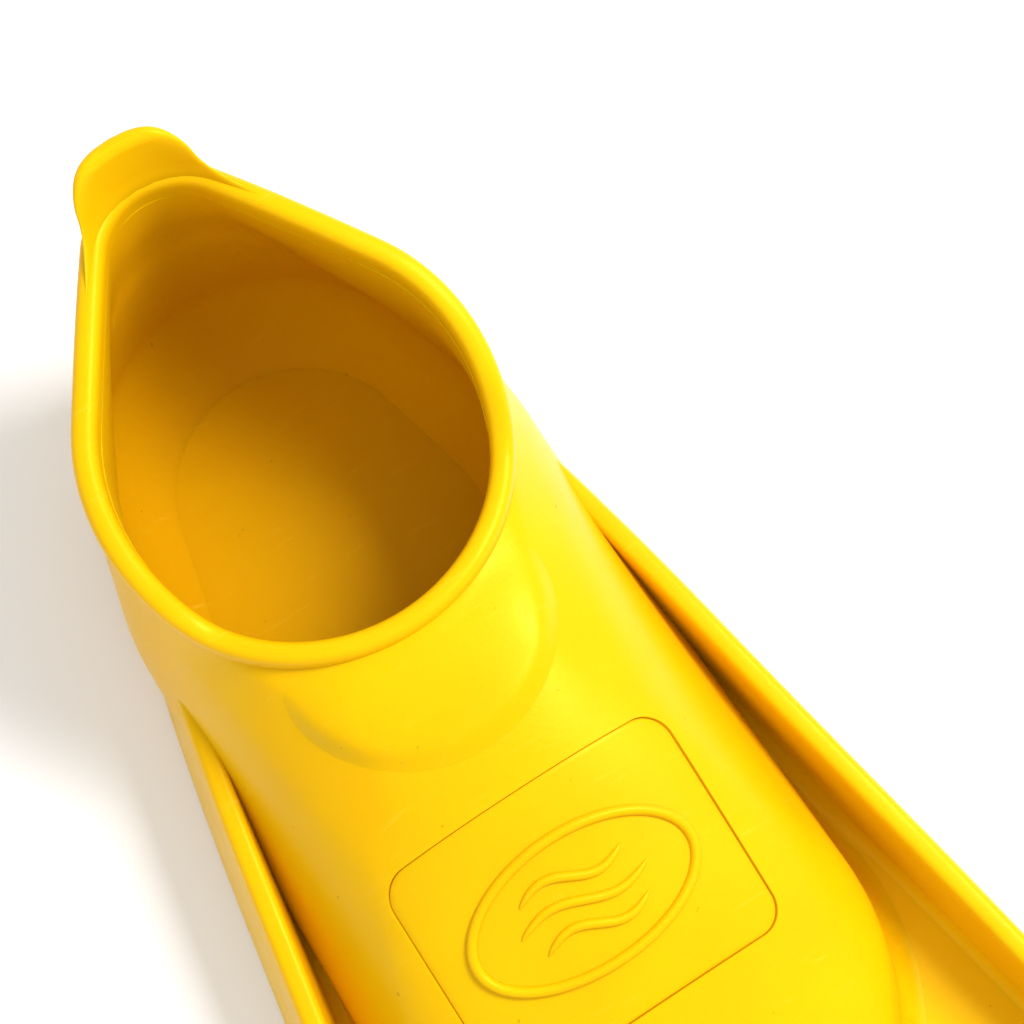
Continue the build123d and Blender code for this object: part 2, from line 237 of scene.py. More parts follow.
def instep_height(x, y):
    """Height of the pocket's outside above plan points, y measured from the opening's front."""
    low, high = np.full(np.shape(x), FLOOR), np.full(np.shape(x), 74.0)
    for _ in range(36):
        middle = (low + high) / 2
        inside = pocket_distance(x, y, middle) < 0
        low, high = np.where(inside, middle, low), np.where(inside, high, middle)
    return np.minimum(low, rim_height(y) - BEAD_H / 2)


def on_instep(x, y, lift):
    """Points lifted off the instep along its normal."""
    x, y = np.asarray(x, float), np.asarray(y, float)
    step = 0.25
    z = instep_height(x, y)
    slope_x = (instep_height(x + step, y) - instep_height(x - step, y)) / (2 * step)
    slope_y = (instep_height(x, y + step) - instep_height(x, y - step)) / (2 * step)
    normal = np.stack([-slope_x, -slope_y, np.ones_like(z)], axis=-1)
    normal /= np.linalg.norm(normal, axis=-1, keepdims=True)
    base = np.stack([x, y + RIM_Y, z], axis=-1)
    return base + normal * np.asarray(lift)[..., None], normal


# ---- mesh helpers ----------------------------------------------------------------------------
def grid_faces(rows, columns, wrap_rows=False):
    """Quads between rows of points, each row a closed loop."""
    faces = []
    for r in range(rows if wrap_rows else rows - 1):
        for c in range(columns):
            r2, c2 = (r + 1) % rows, (c + 1) % columns
            faces.append((r * columns + c, r * columns + c2, r2 * columns + c2, r2 * columns + c))
    return faces


def make_mesh(name, points, faces, material, sharp=40.0):
    """Mesh object in metres from points in millimetres, with its normals outward and smooth
    shaded, except at edges sharper than sharp degrees."""
    mesh = bpy.data.meshes.new(name)
    mesh.from_pydata((np.asarray(points, float).reshape(-1, 3) * MM).tolist(), [], faces)
    bm = bmesh.new()
    bm.from_mesh(mesh)
    bmesh.ops.recalc_face_normals(bm, faces=bm.faces)
    bm.to_mesh(mesh)
    bm.free()
    mesh.shade_smooth()
    mesh.set_sharp_from_angle(angle=math.radians(sharp))
    mesh.materials.append(material)
    piece = bpy.data.objects.new(name, mesh)
    bpy.context.scene.collection.objects.link(piece)
    return piece


def loft(name, rings, material, sharp=40.0):
    """Skin through rings of points shaped (rings, points, 3), closed by a cap at each end."""
    rings = np.asarray(rings)
    rows, columns = rings.shape[:2]
    faces = grid_faces(rows, columns)
    faces.append(tuple(range(columns)))
    faces.append(tuple(range((rows - 1) * columns, rows * columns)))
    return make_mesh(name, rings, faces, material, sharp)


def dress(piece, nodes):
    """Hides the CAD nodes that a piece stands for, and returns the piece."""
    if nodes:
        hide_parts(*nodes)
    return piece


# ---- materials -------------------------------------------------------------------------------
YELLOW = (0.84, 0.50, 0.001, 1.0)
AMBER = (0.80, 0.44, 0.001, 1.0)
INSIDE_SHADE = (0.66, 0.33, 0.001, 1.0)          # painted shade: the darker colour down the inside of the pocket
# The insole's colours are darker than the outer yellow: painted shade for the bottom of the pocket,
# with a random mottle between the two.
INSOLE_LIGHT = (0.70, 0.385, 0.001, 1.0)
INSOLE_DARK = (0.64, 0.33, 0.001, 1.0)
DIRT = (0.30, 0.15, 0.005, 1.0)
SCUFF = (0.92, 0.66, 0.06, 1.0)
GLOSS = (1.0, 0.9, 0.14, 1.0)            # tint of the rubber's highlights


class Nodes:
    """Small helper that adds and links shader nodes of one material."""

    def __init__(self, name):
        self.material = bpy.data.materials.new(name)
        self.material.use_nodes = True
        self.tree = self.material.node_tree
        self.tree.nodes.clear()
        self.place = self.add("ShaderNodeTexCoord").outputs["Object"]

    def add(self, kind, **values):
        node = self.tree.nodes.new(kind)
        for key, value in values.items():
            setattr(node, key, value)
        return node

    def link(self, output, socket):
        self.tree.links.new(output, socket)

    def noise(self, scale, detail=4.0, roughness=0.55, stretch=None):
        node = self.add("ShaderNodeTexNoise")
        node.inputs["Scale"].default_value = scale
        node.inputs["Detail"].default_value = detail
        node.inputs["Roughness"].default_value = roughness
        place = self.place
        if stretch:
            mapping = self.add("ShaderNodeMapping")
            mapping.inputs["Scale"].default_value = stretch
            self.link(self.place, mapping.inputs["Vector"])
            place = mapping.outputs["Vector"]
        self.link(place, node.inputs["Vector"])
        return node.outputs["Fac"]

    def ramp(self, value, first, last):
        """Colour that runs between two (position, colour) stops."""
        node = self.add("ShaderNodeValToRGB")
        for element, (position, colour) in zip(node.color_ramp.elements, (first, last)):
            element.position = position
            element.color = colour
        self.link(value, node.inputs["Fac"])
        return node.outputs["Color"]

    def spread(self, value, low, high, out_low, out_high):
        """Maps low to high onto out_low to out_high, clamped."""
        node = self.add("ShaderNodeMapRange")
        for key, number in (("From Min", low), ("From Max", high),
                            ("To Min", out_low), ("To Max", out_high)):
            node.inputs[key].default_value = number
        self.link(value, node.inputs["Value"])
        return node.outputs["Result"]

    def mix(self, factor, a, b):
        """Colour from a to b; each is a colour or another node's output."""
        node = self.add("ShaderNodeMix", data_type="RGBA")
        self.link(factor, node.inputs[0])
        for socket, colour in ((node.inputs[6], a), (node.inputs[7], b)):
            if isinstance(colour, tuple):
                socket.default_value = colour
            else:
                self.link(colour, socket)
        return node.outputs[2]

    def total(self, a, b):
        node = self.add("ShaderNodeMath", operation="ADD")
        self.link(a, node.inputs[0])
        self.link(b, node.inputs[1])
        return node.outputs[0]

    def bump(self, height, distance, strength, below=None):
        node = self.add("ShaderNodeBump")
        node.inputs["Strength"].default_value = strength
        node.inputs["Distance"].default_value = distance
        self.link(height, node.inputs["Height"])
        if below:
            self.link(below, node.inputs["Normal"])
        return node.outputs["Normal"]


def rubber(name, light, dark, painted_shade, roughness, subsurface):
    """Satin moulded rubber: mottled colour, sparse dirt specks, faint scuffs and a fine grain.
    The inside attribute leads the colour towards a darker colour, painted shade for the inside of the
    pocket."""
    n = Nodes(name)
    broad = n.noise(14.0, 3.0)
    cloudy = n.noise(70.0, 6.0, 0.6)
    colour = n.mix(n.spread(broad, 0.35, 0.68, 0.0, 1.0), light, dark)
    colour = n.mix(n.spread(cloudy, 0.42, 0.75, 0.0, 0.35), colour, dark)
    # Painted shade: where the inside attribute is set, the colour darkens towards the shade colour of
    # the pocket's inside.
    inside = n.add("ShaderNodeAttribute", attribute_name="inside").outputs["Fac"]
    colour = n.mix(inside, colour, painted_shade)
    speck_patch = n.spread(n.noise(420.0, 2.0, 0.5), 0.75, 0.78, 0.0, 0.45)
    colour = n.mix(speck_patch, colour, DIRT)
    scuff = n.noise(60.0, 8.0, 0.7, stretch=(1.0, 9.0, 1.0))
    scuffed = n.spread(scuff, 0.6, 0.78, 0.0, 0.3)
    colour = n.mix(scuffed, colour, SCUFF)
    finish = n.total(n.spread(cloudy, 0.3, 0.7, roughness - 0.05, roughness + 0.07),
                     n.spread(scuff, 0.55, 0.8, 0.0, 0.16))
    normal = n.bump(n.noise(900.0, 3.0, 0.6), 0.0002, 0.16)
    normal = n.bump(cloudy, 0.0006, 0.16, normal)
    normal = n.bump(n.noise(9.0, 2.0, 0.4), 0.004, 0.10, normal)
    shader = n.add("ShaderNodeBsdfPrincipled")
    n.link(colour, shader.inputs["Base Color"])
    n.link(finish, shader.inputs["Roughness"])
    n.link(normal, shader.inputs["Normal"])
    shader.inputs["IOR"].default_value = 1.5
    shader.inputs["Subsurface Weight"].default_value = subsurface
    shader.inputs["Subsurface Radius"].default_value = (1.0, 0.55, 0.05)
    shader.inputs["Subsurface Scale"].default_value = 0.004
    shader.inputs["Specular IOR Level"].default_value = 0.34
    shader.inputs["Specular Tint"].default_value = GLOSS
    out = n.add("ShaderNodeOutputMaterial")
    n.link(shader.outputs["BSDF"], out.inputs["Surface"])
    return n.material


fin_rubber = rubber("fin_rubber_yellow", YELLOW, AMBER, INSIDE_SHADE, 0.36, 0.2)
insole_rubber = rubber("fin_insole_yellow", INSOLE_LIGHT, INSOLE_DARK, INSIDE_SHADE, 0.52, 0.1)


# ---- foot pocket -----------------------------------------------------------------------------
OUTER_ROWS = 72
INNER_ROWS = 56
SAMPLES = 500             # fine steps up a wall, from which its even rows are picked
ABOVE_RIM = 103.0         # a height that is over the rim everywhere
SHADE_ROWS = 10.0          # rows below the rim over which the painted shade inside the pocket grows to full


def climb(outline, drop, rows):
    """Rows of half outlines that climb a wall from the floor to drop below the rim, evenly
    spaced along the wall. Returns points shaped (rows, stations, 3)."""
    heights = np.linspace(FLOOR, ABOVE_RIM, SAMPLES)[:, None]
    x, y = outline(heights)
    over = heights - (rim_height(y) - drop)
    first = np.argmax(over > 0, axis=0)
    columns = np.arange(x.shape[1])
    before, after = over[first - 1, columns], over[first, columns]
    top = heights[first - 1, 0] + (heights[1, 0] - heights[0, 0]) * before / (before - after)
    fine = FLOOR + np.linspace(0, 1, SAMPLES)[:, None] * (top - FLOOR)[None, :]
    x, y = outline(fine)
    steps = np.sqrt(np.diff(x, axis=0) ** 2 + np.diff(y, axis=0) ** 2 + np.diff(fine, axis=0) ** 2)
    length = np.concatenate([np.zeros((1, x.shape[1])), np.cumsum(steps, axis=0)])
    even = np.zeros((rows, x.shape[1]))
    share = np.linspace(0, 1, rows)
    for i in columns:
        even[:, i] = np.interp(share * length[-1, i], length[:, i], fine[:, i])
    x, y = outline(even)
    return np.stack([x, y + RIM_Y, even], axis=-1)


def rim_circles(grow):
    """The opening's circles, grown by grow, in the form that hull_points takes."""
    return [(np.array([[RIM_REAR[0]]]), np.array([[RIM_REAR[1] + grow]])),
            (np.array([[RIM_FRONT[0]]]), np.array([[RIM_FRONT[1] + grow]]))]


def nearest_on_rim(points, grow, drop):
    """The points of the rim's outline, grown by grow, that are nearest in plan."""
    x, y = points[:, 0], points[:, 1] - RIM_Y
    rear, front = (RIM_REAR[0], RIM_REAR[1] + grow), (RIM_FRONT[0], RIM_FRONT[1] + grow)
    for _ in range(4):
        away = capsule_distance(x, y, rear, front)
        slope_x = (capsule_distance(x + 0.01, y, rear, front) - away) / 0.01
        slope_y = (capsule_distance(x, y + 0.01, rear, front) - away) / 0.01
        x, y = x - away * slope_x, y - away * slope_y
    return np.stack([x, y + RIM_Y, rim_height(y) - drop], axis=-1)


def pocket_shell():
    """Toe, side, heel and instep walls of the pocket in one closed skin, with a bowl inside. The
    inside attribute is 0 on the outer side and grows to 1 down the inner side; it paints shade inside
    the pocket."""
    outer = climb(lambda z: pocket_outline(z, 0.0), BEAD_H / 2, OUTER_ROWS)
    inner = climb(inner_outline, BEAD_H, INNER_ROWS)
    ridge = nearest_on_rim(outer[-1], BEAD / 2, BEAD_H / 2)
    lip = nearest_on_rim(inner[-1], 0.0, BEAD_H)
    tuck = nearest_on_rim(inner[-1], 1.0, BEAD_H - 0.8)
    rows = [*outer, ridge, tuck, lip, *inner[::-1]]
    rings = whole(np.array(rows))
    count = rings.shape[1]
    piece = make_mesh("foot_pocket", rings, grid_faces(len(rows), count, wrap_rows=True),
                      fin_rubber, 50.0)
    # Painted shade: 0 on the outside and the rim, growing to 1 a few rows down the inner wall.
    shade_share = np.zeros(len(rows))
    start = OUTER_ROWS + 2
    shade_share[start:] = np.clip(np.arange(len(rows) - start) / SHADE_ROWS, 0, 1)
    inside = piece.data.attributes.new("inside", "FLOAT", "POINT")
    inside.data.foreach_set("value", np.repeat(shade_share, count).astype(np.float32))
    return piece


ROLL_POWER = 0.8          # under 1, so that the rolled section is a little squared


def squared(value, power):
    """A sine or cosine raised to a power with its sign kept, for rounded-square sections."""
    return math.copysign(abs(value) ** power, value)


def collar_bead():
    """Rolled rim round the opening: a rounded band whose inner side is flush with the wall."""
    rings = []
    for turn in np.radians(np.arange(0, 360, 12)):
        c, s = math.cos(turn), math.sin(turn)
        out = BEAD / 2 * (1 + squared(c, ROLL_POWER))
        if c < 0 and s < 0:
            out = 0.0
        up = BEAD_H / 2 * (squared(s, ROLL_POWER) - 1)
        x, y = hull_points(rim_circles(out), RIM_STATIONS)
        middle = hull_points(rim_circles(BEAD / 2), RIM_STATIONS)[1]
        z = rim_height(middle) + up
        rings.append(np.stack([x[0], y[0] + RIM_Y, z[0]], axis=-1))
    rings = whole(np.array(rings))
    return make_mesh("collar_bead_roll", rings,
                     grid_faces(rings.shape[0], rings.shape[1], wrap_rows=True),
                     fin_rubber, 60.0)


pocket = dress(pocket_shell(), ["toe_cap", "vamp", "left_quarter", "right_quarter", "heel_cup"])
bead = dress(collar_bead(), ["collar_bead"])


# ---- patches and relief on the instep --------------------------------------------------------
PANEL_SHARP = 35.0        # edges sharper than this stay crisp round the panel


def patch(name, outline, profile, rings=26):
    """Closed patch on the instep. outline is (points, 2) in plan; profile lists (inset, lift)
    up its edge. The underside keeps the first lift and the top the last one."""
    centre = outline.mean(axis=0)
    away = np.linalg.norm(outline - centre, axis=1)

    def ring_at(inset, shrink, lift):
        share = (1 - inset / away)[:, None] * shrink
        plan = centre + (outline - centre) * share
        return on_instep(plan[:, 0], plan[:, 1], np.full(len(plan), lift))[0]

    shrinks = [1 - k / rings for k in range(1, rings)]
    first, last = profile[0], profile[-1]
    rows = [ring_at(first[0], shrink, first[1]) for shrink in reversed(shrinks)]
    rows += [ring_at(inset, 1.0, lift) for inset, lift in profile]
    rows += [ring_at(last[0], shrink, last[1]) for shrink in shrinks]
    count = len(outline)
    tips = [on_instep(centre[:1], centre[1:], np.array([lift]))[0] for lift in (first[1], last[1])]
    points = np.concatenate([np.array(rows).reshape(-1, 3), *tips])
    faces = grid_faces(len(rows), count)
    start = (len(rows) - 1) * count
    faces += [(i, (i + 1) % count, len(points) - 2) for i in range(count)]
    faces += [(start + i, start + (i + 1) % count, len(points) - 1) for i in range(count)]
    return make_mesh(name, points, faces, fin_rubber, PANEL_SHARP)


PANEL_LOW, PANEL_HIGH = box_mm("instep_panel")
PANEL_Y = (PANEL_LOW[1] + PANEL_HIGH[1]) / 2 - RIM_Y
PANEL_X = PANEL_HIGH[0]
PANEL_HALF_Y = (PANEL_HIGH[1] - PANEL_LOW[1]) / 2
PANEL_CORNER = 7.0
RECESS = 0.5              # how far the panel lies below the instep
SINK = 1.3                # depth of the hole cut for it


def rounded_rectangle(half_x, half_y, radius):
    """Plan outline of a rounded rectangle round the panel's centre."""
    arcs = []
    for quarter, (sx, sy) in enumerate(((1, 1), (-1, 1), (-1, -1), (1, -1))):
        turn = np.radians(90 * quarter + np.linspace(0, 90, 13))
        arcs.append(np.stack([sx * (half_x - radius) + radius * np.cos(turn),
                              sy * (half_y - radius) + radius * np.sin(turn)], axis=-1))
    parts = []
    for arc, following in zip(arcs, arcs[1:] + arcs[:1]):
        parts += [arc, np.linspace(arc[-1], following[0], 41)[1:-1]]
    return np.concatenate(parts) + (0.0, PANEL_Y)


def panel_cutter():
    """Solid that cuts the panel's place out of the instep."""
    outline = rounded_rectangle(PANEL_X, PANEL_HALF_Y, PANEL_CORNER)
    return patch("panel_cutter", outline, [(0.0, 4.0), (0.0, 1.0), (0.0, -SINK)])


def cut(piece, cutter):
    """Cuts the cutter out of the piece and removes the cutter."""
    modifier = piece.modifiers.new("cut", "BOOLEAN")
    modifier.operation = "DIFFERENCE"
    modifier.object = cutter
    modifier.solver = "EXACT"
    bpy.context.view_layer.update()
    evaluated = piece.evaluated_get(bpy.context.evaluated_depsgraph_get())
    mesh = bpy.data.meshes.new_from_object(evaluated)
    piece.modifiers.clear()
    old = piece.data
    piece.data = mesh
    bpy.data.objects.remove(cutter)
    bpy.data.meshes.remove(old)
    mesh.set_sharp_from_angle(angle=math.radians(PANEL_SHARP))


cut(pocket, panel_cutter())
GROOVE = 0.18             # gap round the panel
panel_edge = rounded_rectangle(PANEL_X - GROOVE, PANEL_HALF_Y - GROOVE, PANEL_CORNER - GROOVE)
panel = patch("instep_panel_plate", panel_edge,
              [(0.0, -SINK - 0.3), (0.0, -RECESS - 0.35), (0.1, -RECESS - 0.1), (0.35, -RECESS)],
              rings=34)
dress(panel, ["instep_panel"])


def ridge_on_panel(name, plan, widths, height, closed):
    """Raised rounded ridge along a plan path on the panel; widths are its half-widths."""
    centre, normal = on_instep(plan[:, 0], plan[:, 1], np.full(len(plan), -RECESS))
    if closed:
        along = np.roll(centre, -1, axis=0) - np.roll(centre, 1, axis=0)
    else:
        along = np.gradient(centre, axis=0)
    along /= np.linalg.norm(along, axis=1, keepdims=True)
    side = np.cross(normal, along)
    side /= np.linalg.norm(side, axis=1, keepdims=True)
    rows = []
    for turn in np.radians(np.linspace(-35, 215, 15)):
        out = squared(math.cos(turn), ROLL_POWER)
        up = math.sin(turn) if turn >= 0 else 0.6 * math.sin(turn)
        share = (widths / widths.max())[:, None]
        rows.append(centre + side * (widths[:, None] * out) + normal * (height * up * share))
    rings = np.array(rows)
    if closed:
        return make_mesh(name, rings, grid_faces(rings.shape[0], rings.shape[1], wrap_rows=True),
                         fin_rubber, 60.0)
    return loft(name, rings.transpose(1, 0, 2), fin_rubber, 60.0)


RING_LOW, RING_HIGH = box_mm("emblem_ring")
RING_BAND = 2.6           # width of the oval ring
RING_RISE = 1.5
turns = np.linspace(0, 2 * math.pi, 240, endpoint=False)
ring_path = np.stack([(RING_HIGH[0] - RING_BAND / 2) * np.cos(turns),
                      PANEL_Y + ((RING_HIGH[1] - RING_LOW[1]) / 2 - RING_BAND / 2) * np.sin(turns)],
                     axis=-1)
ring = ridge_on_panel("emblem_oval", ring_path, np.full(len(turns), RING_BAND / 2), RING_RISE, True)
dress(ring, ["emblem_ring"])

WAVE_REACH = box_mm("emblem_waves")[1][0]
WAVE_PITCH, WAVE_SWING = 6.0, 2.2
WAVE_HALF, WAVE_RISE = 1.15, 1.25
waves = []
for row, share in ((-1, 0.8), (0, 1.0), (1, 0.8)):
    t = np.linspace(-1, 1, 80)
    path = np.stack([WAVE_REACH * share * t,
                     PANEL_Y + WAVE_PITCH * row + WAVE_SWING * np.sin(-math.pi * t)], axis=-1)
    widths = WAVE_HALF * np.sqrt(np.clip(1 - np.abs(t) ** 3, 0.02, 1))
    waves.append(ridge_on_panel(f"emblem_wave_{len(waves) + 1}", path, widths, WAVE_RISE, False))
dress(waves[0], ["emblem_waves"])
for wave in waves[1:]:
    dress(wave, [])


def collar_swell():
    """Swollen U-shaped patch of the instep in front of the collar, with a soft edge. Beside the
    collar the swelling calms down and ends."""
    half_width, front, back = 36.0, -38.0, 12.0
    rise, soft_edge = 1.6, 9.0
    calm_end, calm_length = 3.0, 18.0
    sunk, thickness = 0.15, 1.2
    sweep = np.radians(np.linspace(-90, 90, 121))
    edge = np.stack([half_width * np.sin(sweep), front + half_width * (1 - np.cos(sweep))], axis=-1)
    tail = np.stack([np.full(15, half_width), np.linspace(front + half_width, back, 16)[1:]], axis=-1)
    edge = np.concatenate([tail[::-1] * (-1, 1), edge, tail])
    goal = nearest_on_rim(edge + (0.0, RIM_Y), BEAD / 2, 0.0)[:, :2] - (0.0, RIM_Y)
    span = np.linalg.norm(goal - edge, axis=1)
    rows = []
    for share in np.concatenate([np.linspace(0, 0.5, 22), np.linspace(0.55, 1.0, 10)]):
        plan = edge + (goal - edge) * share
        t = np.clip(share * span / soft_edge, 0, 1)
        calm = np.clip((calm_end - plan[:, 1]) / calm_length, 0, 1)
        swelling = rise * t ** 3 * (6 * t * t - 15 * t + 10) * calm * calm * (3 - 2 * calm)
        rows.append(on_instep(plan[:, 0], plan[:, 1], swelling - sunk)[0])
    under = [r - (0, 0, thickness) for r in rows[::-1]]
    rings = np.array(rows + under).transpose(1, 0, 2)
    return loft("collar_step_swell", rings, fin_rubber, 50.0)


swell = dress(collar_swell(), ["collar_step"])


# ---- sole and insole -------------------------------------------------------------------------
def sole_loop(grow):
    """Plan outline of the sole, grown by grow."""
    x, y = pocket_outline(np.array([[FLOOR]]), grow)
    return whole(np.stack([x, y + RIM_Y], axis=-1))[0]


def slab(name, profile, material):
    """Flat slab with the sole's outline; profile lists (grow, height) from bottom to top."""
    rings = []
    for grow, height in profile:
        loop = sole_loop(grow)
        rings.append(np.concatenate([loop, np.full((len(loop), 1), height)], axis=1))
    return loft(name, rings, material, 40.0)


sole = slab("outer_sole", [(-1.0, SOLE_Z), (-0.3, SOLE_Z + 0.2), (0.0, SOLE_Z + 0.8),
                           (0.2, FLOOR - 0.8), (0.0, FLOOR - 0.2), (-0.6, FLOOR + 0.05)],
            fin_rubber)
dress(sole, ["sole_plate"])

INSOLE_INSET = WALL + 13.0               # the wall's leaning foot covers the rest
insole = slab("footbed", [(-INSOLE_INSET, FLOOR + 0.3), (-INSOLE_INSET, INSOLE_TOP - 0.6),
                          (-INSOLE_INSET - 0.3, INSOLE_TOP - 0.2), (-INSOLE_INSET - 0.9, INSOLE_TOP)],
              insole_rubber)
dress(insole, ["insole"])


def grip_ribs():
    """Rounded anti-slip bars moulded across the sole."""
    low, high = box_mm("sole_grip_ribs")
    count, width, half = 15, 5.0, (high[0] - low[0]) / 2
    pitch = (high[1] - low[1] - width) / (count - 1)
    points, faces = [], []
    levels = ((0.0, SOLE_Z + 0.4), (0.0, 0.9), (0.25, 0.35), (0.8, 0.0))
    turns = np.radians(np.arange(0, 360, 10))
    for k in range(count):
        centre = low[1] + width / 2 + k * pitch
        base = len(points)
        for inset, z in levels:
            for turn in turns:
                c, s = math.cos(turn), math.sin(turn)
                points.append(((half - width / 2) * np.sign(round(c, 6)) + (width / 2 - inset) * c,
                               centre + (width / 2 - inset) * s, z))
        faces += [tuple(base + i for i in f) for f in grid_faces(len(levels), len(turns))]
        faces.append(tuple(range(base, base + len(turns))))
        faces.append(tuple(range(len(points) - len(turns), len(points))))
    return make_mesh("sole_grip_bars", points, faces, fin_rubber, 50.0)


grip = dress(grip_ribs(), ["sole_grip_ribs"])


# ---- heel tab --------------------------------------------------------------------------------
def rim_back(x, grow):
    """Y of the rear side of the rim's outline, grown by grow, at half-width x."""
    radius, centre = RIM_REAR[1] + grow, RIM_REAR[0]
    sine = (RIM_FRONT[1] - RIM_REAR[1]) / (RIM_REAR[0] - RIM_FRONT[0])
    cosine = math.sqrt(1 - sine * sine)
    if abs(x) <= radius * cosine:
        return centre + math.sqrt(radius * radius - x * x)
    return centre + radius * sine - (abs(x) - radius * cosine) * cosine / sine


def tab_mesh():
    """Pull tab that rises out of the collar with concave shoulders and leans back. The curves
    give its half-width, thickness and lean at each level above its buried base."""
    base_z = 90.5
    height = TAB_HIGH[2] - 0.2 - base_z
    half_width = smooth_curve([(0, 30.0), (4.0, 28.0), (6.5, 24.5), (8.0, 20.5), (9.5, 17.6),
                               (11.5, 15.8), (14.0, 15.0), (40, 14.8)])
    thickness = smooth_curve([(0, 3.6), (5.0, 4.2), (9.0, 4.8), (13.0, 4.4), (40, 4.0)])
    lean = smooth_curve([(0, 0.0), (6.0, 0.2), (11.0, 1.6), (height, 4.2)])
    corner, rounding = 8.0, 2.0          # of the tab's outline, and of its top edge
    levels = np.concatenate([np.linspace(0, height - corner, 26),
                             height - corner + corner * np.sin(np.linspace(0, math.pi / 2, 18))[1:]])
    rings = []
    for level in levels:
        over = max(0.0, level - (height - corner)) / corner
        half = float(half_width(level)) - corner * (1 - math.sqrt(max(0.0, 1 - over * over)))
        near = max(0.0, level - (height - rounding)) / rounding
        thick = float(thickness(level)) * math.sqrt(max(0.04, 1 - near * near))
        # Higher up the tab is a little less curved than the rim, and its ends are blunter.
        straight = 0.25 * float(np.clip((level - 8.0) / 12.0, 0, 1))
        blunt = float(np.clip((level - 6.5) / 6.0, 0, 1))
        end_x, end_y = 0.85 - 0.40 * blunt, 1.5 - 0.7 * blunt
        ring = []
        for turn in np.radians(np.arange(0, 360, 7.5)):
            c, s = math.cos(turn), math.sin(turn)
            x = squared(c, end_x) * half
            y = squared(s, end_y) * thick / 2
            back = rim_back(x, BEAD / 2)
            y += back + (rim_back(0.0, BEAD / 2) - back) * straight
            ring.append((x, RIM_Y + float(lean(level)) + y, base_z + level))
        rings.append(ring)
    return loft("heel_pull_tab", rings, fin_rubber, 55.0)


tab = dress(tab_mesh(), ["heel_tab"])


# ---- blade: rails, web, ribs and tip band ----------------------------------------------------
ROOT_FLEX = np.array(JOINTS["blade_root_flex"]["pos_m"]) / MM
TIP_FLEX = np.array(JOINTS["blade_tip_flex"]["pos_m"]) / MM
SPLIT_Y = (ROOT_FLEX[1] + TIP_FLEX[1]) / 2      # where the near and far skins meet
SIDE_END = RIM_Y + RAIL_EDGE[0][0]              # end of the rails


def flank_x(y, z):
    """Half-width of the pocket's outside at heights z on the cross line y; 0 where there is none."""
    z = np.maximum(np.asarray(z, float), FLOOR)
    low, high = np.zeros_like(z), np.full_like(z, 80.0)
    for _ in range(30):
        middle = (low + high) / 2
        inside = pocket_distance(middle, np.full_like(z, y - RIM_Y), z) < 0
        low, high = np.where(inside, middle, low), np.where(inside, high, middle)
    return low


BURIED = 1.5              # how deep a rail's inner side runs inside the pocket's wall
CHANNEL_Y = -100.0        # where the channel between rail and pocket begins, from the toe end
CHANNEL_BLEND = 24.0      # length over which it grows out of the plain fillet


def rounded_corner(x, z, radius, start, end, count):
    """Points of a rounded corner about (x, z), from start to end degrees."""
    return [(x + radius * math.cos(turn), z + radius * math.sin(turn))
            for turn in np.radians(np.linspace(start, end, count))]


def rail_section(y):
    """Cross-section of the right rail at y: a drafted bar, with a fillet onto the web or a
    channel to the pocket's flank. The points run up the inner side, over the crown, down the
    outer side past a shallow step and back under the rail."""
    edge, top, foot, low = (float(f(y - RIM_Y)) for f in (rail_edge, rail_top, rail_foot, valley))
    crown = min(RAIL_CROWN, foot - 2.0)
    fillet, inner_round, outer_round, side_top = 3.4, 1.8, 2.2, 3.6
    beside = float(np.clip((y - RIM_Y - CHANNEL_Y) / CHANNEL_BLEND, 0, 1))
    beside = beside * beside * (3 - 2 * beside)
    low = min(low, top - side_top)
    wall = float(flank_x(y, [low + fillet])[0]) - 1.0
    reach = min(edge - fillet, edge - fillet + (wall - edge + fillet) * beside)
    first = np.array([reach, low + fillet * 0.9 * beside])
    bend = np.array([edge + (reach - edge) * 0.5 * beside, low - 0.9 * beside])
    last = np.array([edge + 0.05, low + fillet])
    points = []
    for t in np.linspace(0, 1, 10):
        points.append(tuple(first * (1 - t) ** 2 + bend * (2 * t * (1 - t)) + last * t * t))
    for k in (0.3, 0.6, 0.85):
        points.append((edge + 0.05 + 0.4 * k, low + fillet + max(0.1, top - 2.0 - low - fillet) * k))
    points += rounded_corner(edge + 0.5 + inner_round, top - inner_round, inner_round, 180, 90, 6)
    points += rounded_corner(edge + crown - outer_round, top - outer_round, outer_round, 90, 10, 6)
    points += [(edge + crown + 0.25, top - 2.5), (edge + crown + 0.34, top - 2.9),
               (edge + crown + 0.22, top - 3.3)]
    for k in (0.0, 0.3, 0.6, 0.9):
        points.append((edge + crown + 0.15 + (foot - crown - 0.15) * k,
                       top - side_top + (4.8 - top) * k))
    points += [(edge + foot - 0.1, 0.8), (edge + foot - 0.35, 0.3), (edge + foot - 0.9, 0.0),
               (edge + 0.9, 0.0), (edge + 0.3, 0.3), (edge, 0.9), (edge, WEB_Z + 0.1),
               (reach, WEB_Z + 0.1)]
    points = np.array(points)
    hidden = flank_x(y, points[:, 1]) - BURIED
    across = np.maximum(points[:, 0], hidden) if beside > 0 else points[:, 0]
    return np.stack([across, np.full(len(points), y), points[:, 1]], axis=-1)


def stations(start, end, pitch):
    """Even places from start to end, about pitch apart."""
    return np.linspace(start, end, max(2, int(abs(end - start) / pitch) + 1))


